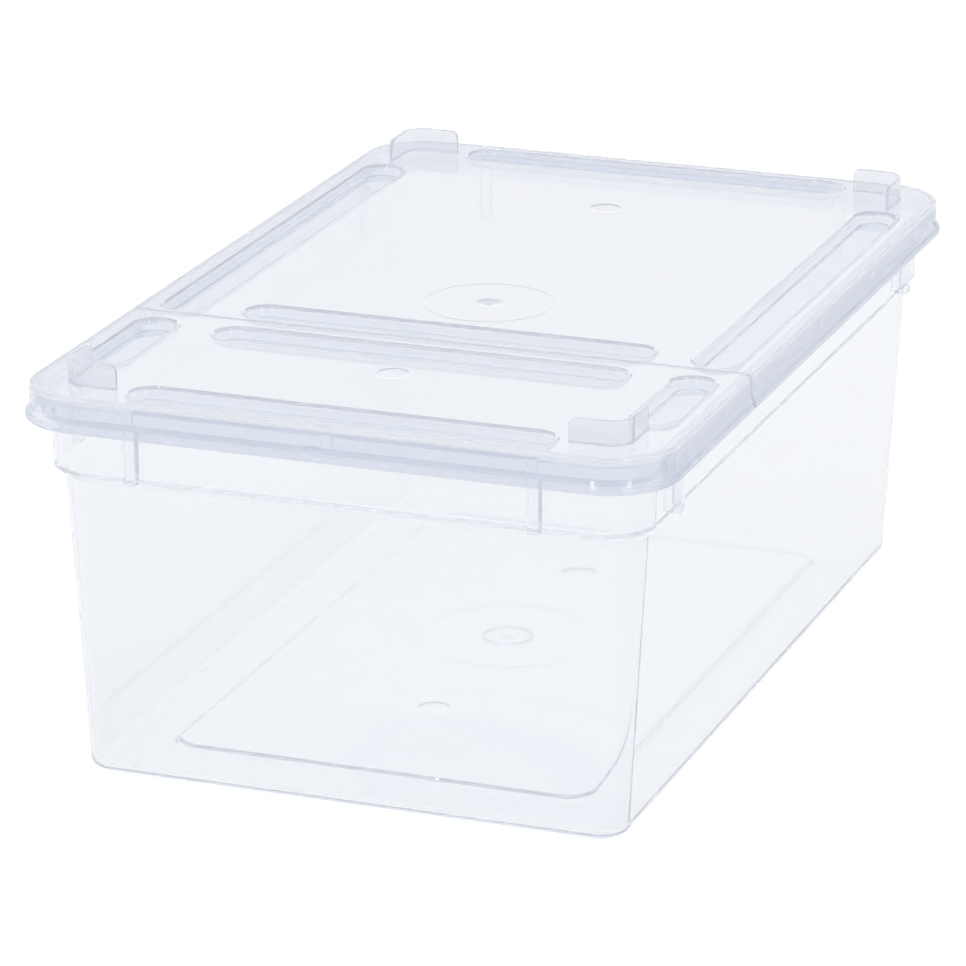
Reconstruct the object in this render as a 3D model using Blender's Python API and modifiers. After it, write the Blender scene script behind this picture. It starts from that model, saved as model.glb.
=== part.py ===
"""Stackable storage bin: a clear moulded tub with a clear push-fit lid.

The lid is split by a living hinge into a short front flap and a long rear panel.
Metres, +Z up.  X runs along the short sides, Y along the long sides, the flap is
at -Y.  The origin is the centre of the foot, at z = 0.
"""

import math

import bmesh
import bpy
from mathutils import Vector

# ------------------------------------------------------------------ dimensions
WIDTH = 0.300            # over the lid's flared lip, along X
LENGTH = 0.460           # over the lid's flared lip, along Y
HALF_SIZE = (WIDTH / 2, LENGTH / 2)
HEIGHT = 0.1811          # foot to the lid's flat top
CORNER_STEPS = 7         # segments in each plan corner

# Plan outlines: (inset from the lid's lip, corner radius)
LIP = (0.0, 0.0315)
BASE = (0.0234, 0.0131)
NECK = (0.0153, 0.0210)
BAND = (0.0112, 0.0222)
COLLAR = (0.0065, 0.0260)
RIM = (0.0050, 0.0270)

# Tub
NECK_Z = 0.1395
BAND_Z = 0.1420
COLLAR_Z = 0.1675
RIM_Z = 0.1785
WALL = 0.0019
FLOOR = 0.0020
FOOT_STEP = 0.0020       # the floor's centre stands this much above the foot
BASE_FILLET = 0.0040     # outside, wall to foot
FLOOR_FILLET = 0.0030    # inside, wall to floor
FILLET_STEPS = 3
PANEL_HALF_X, PANEL_HALF_Y = 0.0980, 0.1700    # raised centre of the floor
PANEL_RADIUS = 0.0120

# Ribs
RIB_WIDTH_TOP, RIB_WIDTH_FOOT = 0.0055, 0.0040
RIB_LEAN = 0.0006        # a rib's foot reaches out this much less than its top
RIB_X = 0.0927           # outermost ribs on the short sides
RIB_Y = 0.1740           # outermost ribs on the long sides
LONG_RIB_FOOT_Z = 0.1410
LONG_RIB_TOP_Z = COLLAR_Z + 0.0003
LONG_RIB_SINK = 0.0005   # how far the root is sunk into the band
SHORT_RIB_Y = (-0.088, 0.018, 0.100)
SHORT_RIB_FOOT_Z = 0.1690
SHORT_RIB_TOP_Z = RIM_Z - 0.0011
SHORT_RIB_SINK = 0.0008  # how far the root is sunk into the collar
SHORT_RIB_SETBACK = 0.0002    # outer face, behind the rim's edge

# Lid
LID_PLATE = 0.0018       # plate thickness
FLAT_INSET = 0.0034      # edge of the lid's flat top, in from the lip

HINGE_Y = -0.0946        # living hinge line
HINGE_FILM = 0.0020      # film width along Y
HINGE_THICK = 0.0005
GAP = 0.0003             # clearance between separate solids

# Grooves in the lid's top
GROOVE_HALF = 0.0106     # half width of a groove's mouth
GROOVE_DEPTH = 0.0045
GROOVE_TAPER = 0.0020    # the floor is this much narrower, each side
GROOVE_FLOOR_BEVEL = 0.0012
GROOVE_SKIN = 0.0014     # plastic under the groove's floor
GROOVE_OVERCUT = 0.0008  # the cutter stands this much above the lid's top
PAN_MARGIN = 0.0006      # the pan's mouth is this much larger, each side
PAN_TAPER = GROOVE_TAPER - 0.0004
PAN_FLOOR_BEVEL = 0.0010
ROUNDING_SLACK = 1e-5    # keeps the rounded ends just short of a full half circle

SIDE_GROOVE_X = 0.1275
END_GROOVE_Y = 0.2100
CROSS_GROOVE_HALF_X = 0.0980     # half length of the grooves along X
REAR_HINGE_GROOVE_Y = -0.0795
FLAP_HINGE_GROOVE_Y = -0.1155
REAR_SIDE_SPAN = (-0.0900, 0.1760)
FLAP_SIDE_SPAN = (-0.1740, -0.1050)

# Stacking lugs
LUG_HEIGHT = 0.0110      # above the lid's top
LUG_SINK = 0.0008        # into the lid's plate
LUG_X, LUG_Y = 0.1300, 0.2105    # outer faces
LUG_LEG_X, LUG_LEG_Y = 0.1040, 0.1820    # free ends of the legs
LUG_WALL, LUG_RADIUS = 0.0018, 0.0100
LUG_CORNER_STEPS = 6
LUG_END_BEVEL = 0.0032

# Snap bead
BEAD_HALF_X = 0.010
BEAD_INSET = 0.0030      # outer face, in from the lip
BEAD_WIDTH = 0.0015      # along Y
BEAD_FOOT_DEPTH, BEAD_TOP_DEPTH = 0.0112, 0.0092    # below the lid's top

# ------------------------------------------------------------------ scene set-up
for old in list(bpy.data.objects):
    bpy.data.objects.remove(old, do_unlink=True)

parts = bpy.data.collections.new("storage_bin")
tools = bpy.data.collections.new("cutters")
bpy.context.scene.collection.children.link(parts)
bpy.context.scene.collection.children.link(tools)


def clear_plastic(name, colour, roughness):
    mat = bpy.data.materials.new(name)
    mat.use_nodes = True
    shader = mat.node_tree.nodes["Principled BSDF"]
    shader.inputs["Base Color"].default_value = (*colour, 1.0)
    shader.inputs["Roughness"].default_value = roughness
    shader.inputs["Metallic"].default_value = 0.0
    shader.inputs["Alpha"].default_value = 0.4
    return mat


# ------------------------------------------------------------------ mesh helpers
def rounded(half_x, half_y, radius, z):
    """Points of a rounded rectangle centred on the Z axis."""
    points = []
    for sign_x, sign_y, start in ((1, 1, 0), (-1, 1, 90), (-1, -1, 180), (1, -1, 270)):
        for i in range(CORNER_STEPS + 1):
            angle = math.radians(start + 90 * i / CORNER_STEPS)
            points.append(Vector((
                sign_x * (half_x - radius) + radius * math.cos(angle),
                sign_y * (half_y - radius) + radius * math.sin(angle),
                z,
            )))
    return points


def ring(outline, inward, z):
    """A plan outline drawn in by 'inward', at height z."""
    inset, radius = outline
    inset += inward
    return rounded(WIDTH / 2 - inset, LENGTH / 2 - inset, radius - inward, z)


def finish(bm, name, collection, mat=None):
    """Turns the bmesh into a linked object, smooth but for edges over 35 degrees."""
    bmesh.ops.recalc_face_normals(bm, faces=bm.faces[:])
    mesh = bpy.data.meshes.new(name)
    bm.to_mesh(mesh)
    bm.free()
    mesh.shade_smooth()
    mesh.set_sharp_from_angle(angle=math.radians(35))
    ob = bpy.data.objects.new(name, mesh)
    collection.objects.link(ob)
    if mat:
        mesh.materials.append(mat)
    return ob


def loft(name, rings, mat):
    """A closed solid through a run of rings, capped at its two ends."""
    bm = bmesh.new()
    loops = [[bm.verts.new(point) for point in points] for points in rings]
    count = len(loops[0])
    for low, high in zip(loops, loops[1:]):
        for i in range(count):
            j = (i + 1) % count
            bm.faces.new((low[i], low[j], high[j], high[i]))
    bm.faces.new(list(reversed(loops[0])))
    bm.faces.new(loops[-1])
    return finish(bm, name, parts, mat)


def box(bm, low, high):
    """Adds a box between two corners and returns its vertices."""
    low, high = Vector(low), Vector(high)
    verts = bmesh.ops.create_cube(bm, size=1.0)["verts"]
    bmesh.ops.scale(bm, vec=high - low, verts=verts)
    bmesh.ops.translate(bm, vec=(high + low) / 2, verts=verts)
    return verts


def trough(bm, low, high, rounding, taper, floor_bevel):
    """Adds a box with rounded upright edges, a drawn-in foot and a bevelled floor."""
    size = Vector(high) - Vector(low)
    centre = (Vector(high) + Vector(low)) / 2
    edges = {e for v in box(bm, low, high) for e in v.link_edges}
    upright = [e for e in edges
               if abs(e.verts[0].co.z - e.verts[1].co.z) > 0.9 * size.z]
    bmesh.ops.bevel(bm, geom=upright, offset=rounding, segments=8,
                    profile=0.5, affect="EDGES", clamp_overlap=True)

    # the bevel replaces vertices, so this trough's are found again by place
    tolerance = 1e-6
    own = [v for v in bm.verts
           if all(low[k] - tolerance <= v.co[k] <= high[k] + tolerance for k in range(3))]
    for v in own:
        if v.co.z < centre.z:
            for k in (0, 1):
                half = size[k] / 2
                v.co[k] = centre[k] + (v.co[k] - centre[k]) * (half - taper) / half

    floor_edges = {e for v in own for e in v.link_edges
                   if all(end.co.z < low[2] + tolerance for end in e.verts)}
    bmesh.ops.bevel(bm, geom=list(floor_edges), offset=floor_bevel, segments=2,
                    profile=0.5, affect="EDGES", clamp_overlap=True)


def apply_tool(ob, operation, name, build, *args):
    """Builds a hidden helper with build(bm, *args) and adds it to ob as a boolean."""
    bm = bmesh.new()
    build(bm, *args)
    tool = finish(bm, name, tools)
    tool.hide_render = True
    tool.display_type = "WIRE"

    mod = ob.modifiers.new(operation.lower(), "BOOLEAN")
    mod.operation = operation
    mod.solver = "EXACT"
    mod.object = tool


# ------------------------------------------------------------------ tub
# (outline, drawn in by, z), from the top of the plain wall up to the rim
TUB_OUTSIDE = (
    (NECK, 0.0, NECK_Z),
    (NECK, -0.0008, BAND_Z - 0.0012),
    (BAND, 0.0015, BAND_Z),
    (BAND, 0.0004, BAND_Z + 0.0005),
    (BAND, 0.0, BAND_Z + 0.0016),
    (BAND, -0.0004, COLLAR_Z - 0.0015),
    (COLLAR, 0.0012, COLLAR_Z),
    (COLLAR, 0.0, COLLAR_Z + 0.0012),
    (COLLAR, 0.0, RIM_Z - 0.0030),
    (RIM, 0.0, RIM_Z - 0.0018),
    (RIM, 0.0, RIM_Z - 0.0005),
    (RIM, 0.0005, RIM_Z),
)
# same columns, from the rim down to the top of the plain wall
TUB_INSIDE = (
    (COLLAR, WALL - 0.0004, RIM_Z),
    (COLLAR, WALL, RIM_Z - 0.0006),
    (COLLAR, WALL, COLLAR_Z + 0.0026),
    (BAND, WALL - 0.0016, COLLAR_Z + 0.0008),
    (BAND, WALL - 0.0004, COLLAR_Z - 0.0006),
    (BAND, WALL, BAND_Z + 0.0028),
    (NECK, WALL - 0.0012, BAND_Z + 0.0014),
    (NECK, WALL, BAND_Z - 0.0006),
)


def wall_outline(z):
    """Outline of the plain wall at z, between the base and the neck."""
    share = z / NECK_Z
    return tuple(base + (neck - base) * share for base, neck in zip(BASE, NECK))


def panel_ring(outward, z):
    """Edge of the floor's raised centre, grown by 'outward'."""
    return rounded(PANEL_HALF_X + outward, PANEL_HALF_Y + outward,
                   PANEL_RADIUS + outward, z)


def make_tub(mat):
    """The tub's shell, lofted up the outside and down the inside."""
    angles = [math.radians(90 * k / FILLET_STEPS) for k in range(FILLET_STEPS + 1)]

    rings = [panel_ring(-0.0012, FOOT_STEP), panel_ring(0.0, 0.0)]
    for angle in angles:
        z = BASE_FILLET * (1 - math.cos(angle))
        rings.append(ring(wall_outline(z), BASE_FILLET * (1 - math.sin(angle)), z))
    rings += [ring(*section) for section in TUB_OUTSIDE + TUB_INSIDE]
    for angle in angles:
        z = FLOOR + FLOOR_FILLET * (1 - math.sin(angle))
        pull = FLOOR_FILLET * (1 - math.cos(angle))
        rings.append(ring(wall_outline(z), WALL + pull, z))
    rings += [panel_ring(0.0006, FLOOR), panel_ring(-0.0010, FLOOR + FOOT_STEP)]

    tub = loft("tub", rings, mat)
    apply_tool(tub, "UNION", "rib_set", ribs)


def rib_rows(bm, places, widths, insets, heights):
    """Ribs on all four sides.

    places: positions along X on the short sides, then along Y on the long sides.
    widths and heights: (foot, top).  insets: (root, outer face), from the lip.
    """
    for along in (0, 1):
        across = 1 - along
        root, face = (HALF_SIZE[across] - inset for inset in insets)
        for side in (-1, 1):
            for place in places[along]:
                for v in bmesh.ops.create_cube(bm, size=1.0)["verts"]:
                    top = v.co.z > 0
                    reach = face if top else face - RIB_LEAN
                    co = [0.0, 0.0, heights[top]]
                    co[along] = place + math.copysign(widths[top] / 2, v.co[along])
                    co[across] = side * (reach if v.co[across] > 0 else root)
                    v.co = co


def ribs(bm):
    """Upright ribs round the outside of the tub."""
    # long ribs across the band, flush with the collar
    rib_rows(bm,
             places=((-RIB_X, RIB_X), (-RIB_Y, RIB_Y)),
             widths=(RIB_WIDTH_FOOT, RIB_WIDTH_TOP),
             insets=(BAND[0] + LONG_RIB_SINK, COLLAR[0]),
             heights=(LONG_RIB_FOOT_Z, LONG_RIB_TOP_Z))
    # shorter ribs under the rim, standing proud of the collar
    rib_rows(bm,
             places=((-RIB_X, 0.0, RIB_X), (-RIB_Y, *SHORT_RIB_Y, RIB_Y)),
             widths=(RIB_WIDTH_TOP, RIB_WIDTH_TOP),
             insets=(COLLAR[0] + SHORT_RIB_SINK, RIM[0] + SHORT_RIB_SETBACK),
             heights=(SHORT_RIB_FOOT_Z, SHORT_RIB_TOP_Z))


# ------------------------------------------------------------------ lid
# (inset from the lip, depth below the lid's top): down the outside of the rolled
# edge and flared skirt, then up the inside to the plate's underside
LID_SECTION = (
    (FLAT_INSET, 0.0), (0.0025, 0.0003), (0.0020, 0.0013),
    (0.0019, 0.0104), (0.0012, 0.0118), (0.0006, 0.0124), (0.0006, 0.0130),
    (0.0000, 0.0138), (0.0000, 0.0150), (0.0006, 0.0159),
    (0.0018, 0.0159), (0.0022, 0.0132), (0.0037, 0.0112),
    (0.0038, 0.0034), (0.0048, LID_PLATE),
)


def groove_mouths(is_flap):
    """(low x, high x, low y, high y) of each groove's mouth on one piece."""
    if is_flap:
        cross_places = (-END_GROOVE_Y, FLAP_HINGE_GROOVE_Y)
        side_span = FLAP_SIDE_SPAN
    else:
        cross_places = (END_GROOVE_Y, REAR_HINGE_GROOVE_Y)
        side_span = REAR_SIDE_SPAN
    cross = [(-CROSS_GROOVE_HALF_X, CROSS_GROOVE_HALF_X, y - GROOVE_HALF, y + GROOVE_HALF)
             for y in cross_places]
    sides = [(x - GROOVE_HALF, x + GROOVE_HALF, *side_span)
             for x in (-SIDE_GROOVE_X, SIDE_GROOVE_X)]
    return cross + sides


def groove_pans(bm, is_flap):
    """Solid pans under the plate, which the grooves are then cut into."""
    for x0, x1, y0, y1 in groove_mouths(is_flap):
        trough(bm,
               (x0 - PAN_MARGIN, y0 - PAN_MARGIN, HEIGHT - GROOVE_DEPTH - GROOVE_SKIN),
               (x1 + PAN_MARGIN, y1 + PAN_MARGIN, HEIGHT - LID_PLATE / 2),
               rounding=GROOVE_HALF + PAN_MARGIN - ROUNDING_SLACK,
               taper=PAN_TAPER, floor_bevel=PAN_FLOOR_BEVEL)


def groove_cuts(bm, is_flap):
    for x0, x1, y0, y1 in groove_mouths(is_flap):
        trough(bm, (x0, y0, HEIGHT - GROOVE_DEPTH), (x1, y1, HEIGHT + GROOVE_OVERCUT),
               rounding=GROOVE_HALF - ROUNDING_SLACK,
               taper=GROOVE_TAPER, floor_bevel=GROOVE_FLOOR_BEVEL)


def lug_outline():
    """Plan of the lug at +X +Y: an L-shaped wall with a round corner."""
    def corner(radius):
        angles = [math.radians(90 * i / LUG_CORNER_STEPS) for i in range(LUG_CORNER_STEPS + 1)]
        return [(LUG_X - LUG_RADIUS + radius * math.cos(angle),
                 LUG_Y - LUG_RADIUS + radius * math.sin(angle)) for angle in angles]

    return [
        (LUG_LEG_X, LUG_Y),
        *reversed(corner(LUG_RADIUS)),
        (LUG_X, LUG_LEG_Y),
        (LUG_X - LUG_WALL, LUG_LEG_Y),
        *corner(LUG_RADIUS - LUG_WALL),
        (LUG_LEG_X, LUG_Y - LUG_WALL),
    ]


def lugs(bm, side_y):
    """The two corner lugs of one lid piece."""
    def at_leg_end(edge):
        return any(all(abs(abs(v.co[k]) - leg_end) < 1e-7 for v in edge.verts)
                   for k, leg_end in enumerate((LUG_LEG_X, LUG_LEG_Y)))

    for side_x in (-1, 1):
        foot = bm.faces.new([bm.verts.new((side_x * x, side_y * y, HEIGHT - LUG_SINK))
                             for x, y in lug_outline()])
        grown = bmesh.ops.extrude_face_region(bm, geom=[foot])["geom"]
        top = [v for v in grown if isinstance(v, bmesh.types.BMVert)]
        bmesh.ops.translate(bm, vec=(0, 0, LUG_HEIGHT + LUG_SINK), verts=top)
        # the legs' free ends are rounded over at the top
        ends = [e for e in {e for v in top for e in v.link_edges}
                if all(v in top for v in e.verts) and at_leg_end(e)]
        bmesh.ops.bevel(bm, geom=ends, offset=LUG_END_BEVEL, segments=4,
                        profile=0.5, affect="EDGES")


def snap_bead(bm):
    """Bead on the inside of the flap's front skirt, under the tub's rim."""
    y = -(LENGTH / 2 - BEAD_INSET)
    box(bm, (-BEAD_HALF_X, y, HEIGHT - BEAD_FOOT_DEPTH),
        (BEAD_HALF_X, y + BEAD_WIDTH, HEIGHT - BEAD_TOP_DEPTH))


def trim(bm, is_flap):
    """Oversized block over the part of the lid beyond the hinge."""
    edge = HINGE_FILM / 2 + GAP
    if is_flap:
        low_y, high_y = HINGE_Y - edge, LENGTH
    else:
        low_y, high_y = -LENGTH, HINGE_Y + edge
    box(bm, (-WIDTH, low_y, HEIGHT - 0.05), (WIDTH, high_y, HEIGHT + 0.05))


def make_lid_piece(name, tag, is_flap, mat):
    """One piece of the lid, cut from a whole lid."""
    rings = [ring(LIP, inset, HEIGHT - depth) for inset, depth in LID_SECTION]
    piece = loft(name, rings, mat)
    apply_tool(piece, "UNION", f"{tag}_pans", groove_pans, is_flap)
    apply_tool(piece, "DIFFERENCE", f"{tag}_grooves", groove_cuts, is_flap)
    apply_tool(piece, "UNION", f"{tag}_lugs", lugs, -1 if is_flap else 1)
    if is_flap:
        apply_tool(piece, "UNION", "flap_bead", snap_bead)
    apply_tool(piece, "DIFFERENCE", f"{tag}_trim", trim, is_flap)
    return piece


# ------------------------------------------------------------------ hinge
def hang_flap(flap):
    """Parents the flap to an empty on the hinge line, leaving it in place."""
    axis = bpy.data.objects.new("flap_hinge_axis", None)
    axis.location = (0.0, HINGE_Y, HEIGHT)
    axis.empty_display_size = 0.02
    parts.objects.link(axis)
    bpy.context.view_layer.update()    # brings the empty's matrix_world up to date
    flap.parent = axis
    flap.matrix_parent_inverse = axis.matrix_world.inverted()


def make_hinge_film(mat):
    """Thin strip between the two lid pieces, with its origin on the hinge line."""
    bm = bmesh.new()
    half_x = WIDTH / 2 - FLAT_INSET
    box(bm, (-half_x, -HINGE_FILM / 2, -HINGE_THICK), (half_x, HINGE_FILM / 2, 0.0))
    film = finish(bm, "living_hinge", parts, mat)
    soft = film.modifiers.new("round_edges", "BEVEL")
    soft.width = 0.00012
    soft.segments = 2
    film.location = (0.0, HINGE_Y, HEIGHT)


# ------------------------------------------------------------------ build
tub_mat = clear_plastic("clear_tub_plastic", colour=(0.84, 0.87, 0.92), roughness=0.12)
lid_mat = clear_plastic("clear_lid_plastic", colour=(0.80, 0.84, 0.90), roughness=0.10)
film_mat = clear_plastic("clear_hinge_plastic", colour=(0.62, 0.68, 0.75), roughness=0.20)

make_tub(tub_mat)
make_lid_piece("lid_rear_panel", "rear", is_flap=False, mat=lid_mat)
hang_flap(make_lid_piece("lid_front_flap", "flap", is_flap=True, mat=lid_mat))
make_hinge_film(film_mat)
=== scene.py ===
"""Looks of a clear stackable storage bin with a hinged lid.

The bin stands on Z = 0, centred in X and Y, its long sides along Y.  The lid's short
front flap lies toward -Y, its long rear panel toward +Y, with the hinge film between
them.  Each of these and the tub is a closed, thin-walled mesh with its real fillets, so
the clear plastic bends and absorbs light as a moulding does.

Meshes are drawn in millimetres and stored in metres.  Names ending in _MM repeat a
frame size in millimetres; shape tables are in millimetres unless they say otherwise.
"""

import math

import bmesh  # noqa: E402
import bpy  # noqa: E402
from mathutils import Matrix, Vector  # noqa: E402
from mathutils.geometry import delaunay_2d_cdt  # noqa: E402


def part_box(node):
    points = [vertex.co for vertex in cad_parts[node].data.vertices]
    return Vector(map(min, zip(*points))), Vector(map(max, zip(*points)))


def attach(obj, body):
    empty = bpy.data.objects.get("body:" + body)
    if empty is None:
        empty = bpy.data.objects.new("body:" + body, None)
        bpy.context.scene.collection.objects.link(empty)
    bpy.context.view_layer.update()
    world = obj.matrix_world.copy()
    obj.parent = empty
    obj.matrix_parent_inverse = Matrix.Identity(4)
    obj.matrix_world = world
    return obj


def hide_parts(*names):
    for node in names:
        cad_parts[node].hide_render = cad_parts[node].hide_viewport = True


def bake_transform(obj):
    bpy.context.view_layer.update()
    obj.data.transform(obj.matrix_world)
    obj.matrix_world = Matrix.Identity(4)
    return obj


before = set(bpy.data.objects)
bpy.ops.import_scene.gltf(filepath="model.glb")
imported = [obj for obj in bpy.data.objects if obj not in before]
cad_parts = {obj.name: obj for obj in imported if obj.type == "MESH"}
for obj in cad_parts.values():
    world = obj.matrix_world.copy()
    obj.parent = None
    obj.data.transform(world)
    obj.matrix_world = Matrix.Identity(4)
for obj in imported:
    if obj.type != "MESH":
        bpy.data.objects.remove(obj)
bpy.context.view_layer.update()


MM = 0.001

# ------------------------------------------------------------------ sizes from the frame
REAR_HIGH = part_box("lid_rear_panel")[1]
FILM_LOW, FILM_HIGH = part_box("living_hinge")
HALF_X, HALF_Y = REAR_HIGH.x, REAR_HIGH.y    # the lid's lip, metres
TOP = FILM_HIGH.z                            # the lid's flat top, metres
HINGE_Y = (FILM_LOW.y + FILM_HIGH.y) / 2     # metres
SLIT = 0.80 * MM                             # half the width of the slit between the panels
HALF_X_MM, HALF_Y_MM, TOP_MM = HALF_X / MM, HALF_Y / MM, TOP / MM

CORNER_STEPS = 22                            # segments in a quarter turn
SLOT_STEPS = 18                              # segments in a quarter turn of a slot's end
SHARP_ANGLE = math.radians(35)               # edges bent more than this shade sharp


# ------------------------------------------------------------------ outlines
def turn(degrees):
    """Cosine and sine of an angle in degrees."""
    angle = math.radians(degrees)
    return math.cos(angle), math.sin(angle)


def rounded(half_x, half_y, radius, z):
    """A rounded rectangle's points, anticlockwise."""
    points = []
    for side_x, side_y, start in ((1, 1, 0), (-1, 1, 90), (-1, -1, 180), (1, -1, 270)):
        for i in range(CORNER_STEPS + 1):
            cos, sin = turn(start + 90 * i / CORNER_STEPS)
            points.append((side_x * (half_x - radius) + radius * cos,
                           side_y * (half_y - radius) + radius * sin, z))
    return points


def circle(centre_x, centre_y, radius, count):
    """A circle's points as (x, y)."""
    return [(centre_x + radius * math.cos(2 * math.pi * i / count),
             centre_y + radius * math.sin(2 * math.pi * i / count)) for i in range(count)]


def stadium(x0, x1, y0, y1, grow, z):
    """A round-ended slot's outline: the mouth x0..x1, y0..y1 grown sideways by grow."""
    centre_x, centre_y = (x0 + x1) / 2, (y0 + y1) / 2
    along_x = (x1 - x0) > (y1 - y0)
    half = min(x1 - x0, y1 - y0) / 2
    run = max(x1 - x0, y1 - y0) / 2 - half
    radius = half + grow
    points = []
    for end, start in ((1, -90), (-1, 90)):
        for i in range(2 * SLOT_STEPS + 1):
            cos, sin = turn(start + 180 * i / (2 * SLOT_STEPS))
            along, across = end * run + radius * cos, radius * sin
            if along_x:
                points.append((centre_x + along, centre_y + across, z))
            else:
                points.append((centre_x - across, centre_y + along, z))
    return points


def signed_area(points):
    """Twice the area inside a loop, positive when it runs anticlockwise."""
    return sum(p[0] * q[1] - q[0] * p[1] for p, q in zip(points, points[1:] + points[:1]))


# ------------------------------------------------------------------ mesh helpers
class Shell:
    """A closed mesh put together from rings and flat fields with holes."""

    def __init__(self):
        self.points, self.faces = [], []

    def ring(self, points):
        first = len(self.points)
        self.points.extend((x * MM, y * MM, z * MM) for x, y, z in points)
        return list(range(first, len(self.points)))

    def stack(self, rings):
        """Bridges a run of rings and gives back the first and last as indices."""
        loops = [self.ring(points) for points in rings]
        for near, far in zip(loops, loops[1:]):
            count = len(near)
            for i in range(count):
                j = (i + 1) % count
                self.faces.append((near[i], near[j], far[j], far[i]))
        return loops[0], loops[-1]

    def capped_stack(self, rings):
        for end in self.stack(rings):
            self.faces.append(tuple(end))

    def marks(self, centre, table, count, surface):
        """Concentric circles; table holds (radius, height over surface(x, y))."""
        return self.stack([[(x, y, surface(x, y) + lift)
                            for x, y in circle(*centre, radius, count)]
                           for radius, lift in table])

    def field(self, outer, holes=(), extra=(), height=None):
        """Fills the region inside loop outer and outside each hole.
        extra are loose (x, y) points, and height(x, y) gives their z."""
        ids, flat, loops = [], [], []
        for loop in (outer, *holes):
            if signed_area([self.points[i] for i in loop]) <= 0:
                loop = loop[::-1]
            loops.append(list(range(len(ids), len(ids) + len(loop))))
            ids.extend(loop)
            flat.extend(Vector(self.points[i][:2]) for i in loop)
        for x, y in extra:
            ids.append(None)
            flat.append(Vector((x * MM, y * MM)))
        # output type 1 keeps the triangles inside the loops, holes among them
        out_points, _, out_faces, point_sources, _, face_sources = delaunay_2d_cdt(
            [point / MM for point in flat], [], loops, 1, 1e-5)
        lookup = []
        for point, sources in zip(out_points, point_sources):
            known = [ids[i] for i in sources if ids[i] is not None]
            if known:
                lookup.append(known[0])
            else:
                x, y = point.x, point.y
                self.points.append((x * MM, y * MM, height(x, y) * MM))
                lookup.append(len(self.points) - 1)
        for face, sources in zip(out_faces, face_sources):
            if list(sources) == [0]:         # in the outer loop and in no hole
                self.faces.append(tuple(lookup[i] for i in face))

    def build(self):
        solid = bmesh.new()
        verts = [solid.verts.new(point) for point in self.points]
        for face in self.faces:
            if len(set(face)) > 2:
                solid.faces.new([verts[i] for i in face])
        loose = [v for v in solid.verts if not v.link_faces]
        bmesh.ops.delete(solid, geom=loose, context="VERTS")
        bmesh.ops.recalc_face_normals(solid, faces=solid.faces[:])
        return solid


def place(name, data):
    """Makes an object of some data and links it to the scene."""
    thing = bpy.data.objects.new(name, data)
    bpy.context.scene.collection.objects.link(thing)
    return thing


def shade(mesh):
    mesh.shade_smooth()
    mesh.set_sharp_from_angle(angle=SHARP_ANGLE)


def to_object(solid, name):
    bmesh.ops.recalc_face_normals(solid, faces=solid.faces[:])
    mesh = bpy.data.meshes.new(name)
    solid.to_mesh(mesh)
    solid.free()
    shade(mesh)
    return place(name, mesh)


def settle(piece):
    """Applies a piece's modifiers."""
    bpy.context.view_layer.update()
    mesh = bpy.data.meshes.new_from_object(
        piece.evaluated_get(bpy.context.evaluated_depsgraph_get()))
    piece.modifiers.clear()
    piece.data = mesh
    mesh.name = piece.name


def union(piece, other):
    tool = to_object(other, "tool_" + piece.name)
    join = piece.modifiers.new("join", "BOOLEAN")
    join.operation, join.solver, join.object = "UNION", "EXACT", tool
    settle(piece)
    bpy.data.objects.remove(tool, do_unlink=True)
    shade(piece.data)


def flatten_normals(piece):
    """Large faces stay optically flat beside their fillets."""
    flat = piece.modifiers.new("flat", "WEIGHTED_NORMAL")
    flat.mode, flat.weight, flat.keep_sharp = "FACE_AREA", 50, True
    settle(piece)


# ------------------------------------------------------------------ the lid's edge
LIP_RADIUS = 31.5                            # plan radius at the lip
PLATE = 1.8                                  # thickness of the lid's flat plate
EDGE_RADIUS = 1.6                            # fillets between the plate and the skirt

# Outside of the skirt below the top fillet, downward, as (inset from the lip, depth
# below the flat top).
SKIRT_OUTSIDE = [
    (2.0, 1.9), (1.97, 5.5), (1.95, 9.0), (1.92, 9.3), (1.82, 9.75), (1.62, 10.25),
    (1.35, 10.8), (1.08, 11.3), (0.92, 11.55), (0.86, 11.75),
    # fine ridges
    (0.80, 11.95), (0.55, 12.25), (0.42, 12.55), (0.48, 12.75), (0.25, 13.0),
    (0.12, 13.25), (0.18, 13.45), (0.02, 13.7), (0.0, 13.95), (0.10, 14.15),
    (0.0, 14.4), (0.0, 14.65), (0.10, 14.82), (0.0, 15.0),
    # rounded bottom
    (0.03, 15.2), (0.14, 15.45), (0.33, 15.68), (0.6, 15.83), (0.9, 15.9), (1.3, 15.9)]

# Inside of the skirt, upward to the inner fillet, in the same columns.
SKIRT_INSIDE = [
    (1.65, 15.85), (1.92, 15.65), (2.1, 15.3), (2.2, 14.6), (2.3, 13.5), (2.42, 12.9),
    (2.7, 12.3), (3.05, 11.8), (3.4, 11.35), (3.62, 10.9), (3.75, 10.3), (3.8, 9.7),
    (3.8, 6.5), (3.8, 3.7)]


def edge_profile():
    """The lid's edge from the flat top round to the plate's underside: (inset, depth)."""
    run = [(4.2, 0.0)]
    for angle in (90, 101, 113, 125, 137, 149, 160, 170, 180):
        cos, sin = turn(angle)
        run.append((3.6 + EDGE_RADIUS * cos, EDGE_RADIUS - EDGE_RADIUS * sin))
    run += SKIRT_OUTSIDE + SKIRT_INSIDE
    for angle in (0, 15, 30, 45, 60, 75, 90):
        cos, sin = turn(angle)
        run.append((5.4 - EDGE_RADIUS * cos, PLATE + EDGE_RADIUS - EDGE_RADIUS * sin))
    run.append((5.7, PLATE))
    return run


def lip_ring(inset, depth):
    return rounded(HALF_X_MM - inset, HALF_Y_MM - inset, LIP_RADIUS - inset, TOP_MM - depth)


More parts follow.
